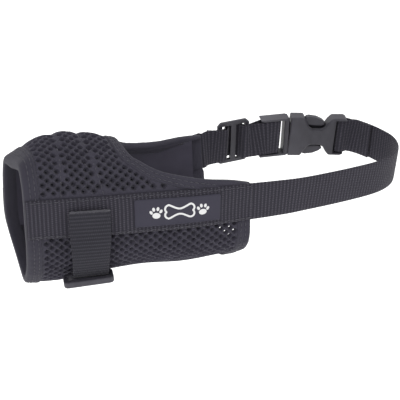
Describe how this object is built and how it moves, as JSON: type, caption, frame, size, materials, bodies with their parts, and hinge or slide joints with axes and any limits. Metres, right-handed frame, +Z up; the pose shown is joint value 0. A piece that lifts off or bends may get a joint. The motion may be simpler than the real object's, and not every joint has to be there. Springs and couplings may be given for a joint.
{
  "type": "mesh dog muzzle",
  "caption": "Soft snout sleeve of air mesh with webbing side bands, a cinch strap through a ring and a neck strap closed by a side-release buckle.",
  "frame": {"origin": "on the middle plane of the sleeve at the front rim, level with the middle of the side bands, which is also the mount worn_on_snout", "axes": "+X from the nose opening towards the neck strap, +Y towards the buckle's side (the far side), +Z up; metres"},
  "size_m": [0.2125, 0.0833, 0.0802],
  "materials": {
    "mesh_fabric": "charcoal three-dimensional air mesh with small staggered holes",
    "binding_tape": "charcoal stitched edge tape",
    "lining_fabric": "near-black smooth lining cloth",
    "webbing": "black flat woven polyester webbing",
    "hook_and_loop": "black ribbed webbing with hook tape behind",
    "buckle_plastic": "black moulded acetal with a slight sheen",
    "label_rubber": "dark grey soft rubber"
  },
  "bodies": {
    "sleeve": {"bridge_mesh": "mesh_fabric", "chin_mesh": "mesh_fabric", "side_mesh_near": "mesh_fabric", "side_mesh_far": "mesh_fabric", "binding_front": "binding_tape", "binding_top_edge": "binding_tape", "binding_rear": "binding_tape", "lining_near": "lining_fabric", "lining_far": "lining_fabric", "side_band_near": "webbing", "side_band_far": "webbing", "label_patch": "label_rubber", "ring_loop": "webbing", "cinch_ring": "buckle_plastic", "cinch_strap": "webbing", "neck_strap_near": "webbing", "neck_strap_far": "webbing", "buckle_male": "buckle_plastic"},
    "female_half": {"buckle_female": "buckle_plastic", "neck_strap_fold": "webbing"},
    "prong_upper": {"prong_upper": "buckle_plastic"},
    "prong_lower": {"prong_lower": "buckle_plastic"},
    "slider": {"slider": "buckle_plastic"},
    "cinch_flap": {"cinch_flap": "hook_and_loop"}
  },
  "joints": [
    {"name": "buckle_release", "type": "slide", "parent": "sleeve", "child": "female_half", "axis": [0.9724, -0.2279, -0.0502], "range_m": [0, 0.026], "deforming": ["neck_strap_near", "prong_upper", "prong_lower"]},
    {"name": "prong_upper_pinch", "type": "hinge", "parent": "sleeve", "child": "prong_upper", "pos_m": [0.16243, 0.03337, 0.01521], "axis": [0.2333, 0.9545, 0.1855], "range_deg": [0, 9], "stiffness_Nm_per_rad": 0.2},
    {"name": "prong_lower_pinch", "type": "hinge", "parent": "sleeve", "child": "prong_lower", "pos_m": [0.16233, 0.03675, -0.00207], "axis": [-0.2333, -0.9545, -0.1855], "range_deg": [0, 9], "stiffness_Nm_per_rad": 0.2},
    {"name": "slider_travel", "type": "slide", "parent": "sleeve", "child": "slider", "axis": [0.9972, 0.0449, 0.0598], "range_m": [-0.006, 0.003], "deforming": ["neck_strap_far"]},
    {"name": "cinch_flap_peel", "type": "hinge", "parent": "sleeve", "child": "cinch_flap", "pos_m": [0.03076, -0.02482, -0.0331], "axis": [0.9844, -0.1618, 0.0698], "range_deg": [0, 68]}
  ]
}
